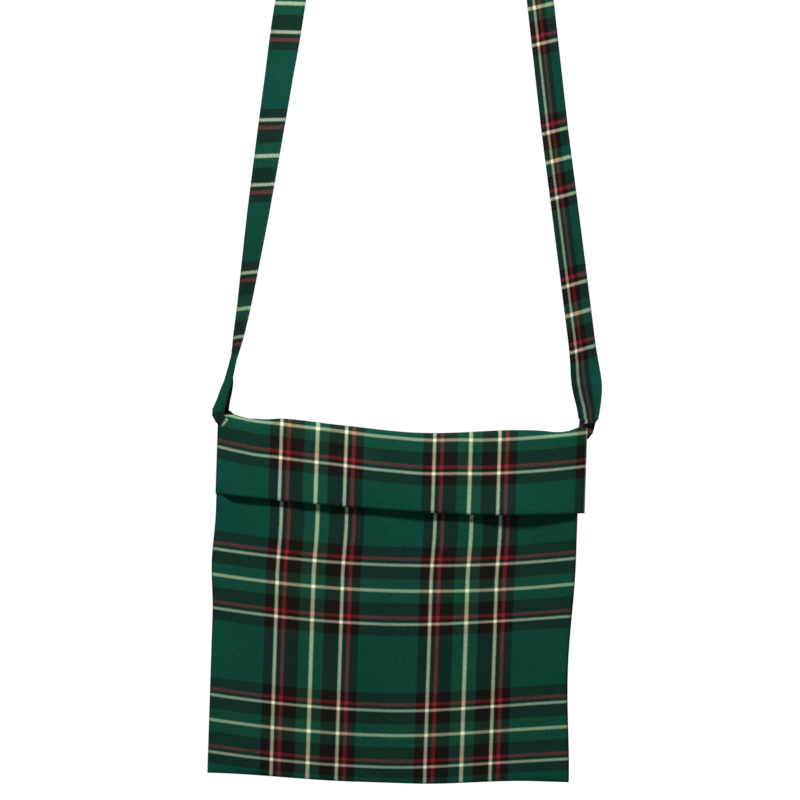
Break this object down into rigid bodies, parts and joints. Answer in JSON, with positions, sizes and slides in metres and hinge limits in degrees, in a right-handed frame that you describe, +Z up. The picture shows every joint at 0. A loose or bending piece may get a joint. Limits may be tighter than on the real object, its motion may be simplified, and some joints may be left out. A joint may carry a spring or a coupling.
{
  "type": "cloth shoulder bag",
  "caption": "Flat square cloth shoulder bag in a tartan check: a lined pouch with a short fold-over flap and one long flat strap sewn into its top corners.",
  "frame": {"origin": "hang point: middle of the underside of the strap at the top of its loop", "axes": "+Z up, the front and the flap face -Y, +X to the right as seen from the front"},
  "size_m": [0.3108, 0.0304, 0.8383],
  "materials": {
    "tartan_cloth": "twill weave, matt, slightly napped",
    "strap_cloth": "twill weave, matt, pressed flat",
    "lining_cotton": "plain weave, matt",
    "sewing_thread": "spun thread"
  },
  "bodies": {
    "strap": {"shoulder_strap": "strap_cloth"},
    "pouch": {"front_panel": "tartan_cloth", "back_panel": "tartan_cloth", "front_lining": "lining_cotton", "back_lining": "lining_cotton", "mouth_hem": "tartan_cloth", "left_side_seam": "tartan_cloth", "right_side_seam": "tartan_cloth", "bottom_seam": "tartan_cloth", "left_strap_end": "strap_cloth", "right_strap_end": "strap_cloth", "left_strap_tack": "sewing_thread", "right_strap_tack": "sewing_thread"},
    "flap": {"flap_cloth": "tartan_cloth", "flap_facing": "lining_cotton", "flap_hem": "tartan_cloth"}
  },
  "joints": [
    {"name": "pouch_swing", "type": "hinge", "parent": "strap", "child": "pouch", "pos_m": [0, 0, -0.55442], "axis": [-1, 0, 0], "range_deg": [-90, 30]},
    {"name": "flap_fold", "type": "hinge", "parent": "pouch", "child": "flap", "pos_m": [0, 0.0035, -0.55692], "axis": [-1, 0, 0], "range_deg": [0, 90]}
  ]
}
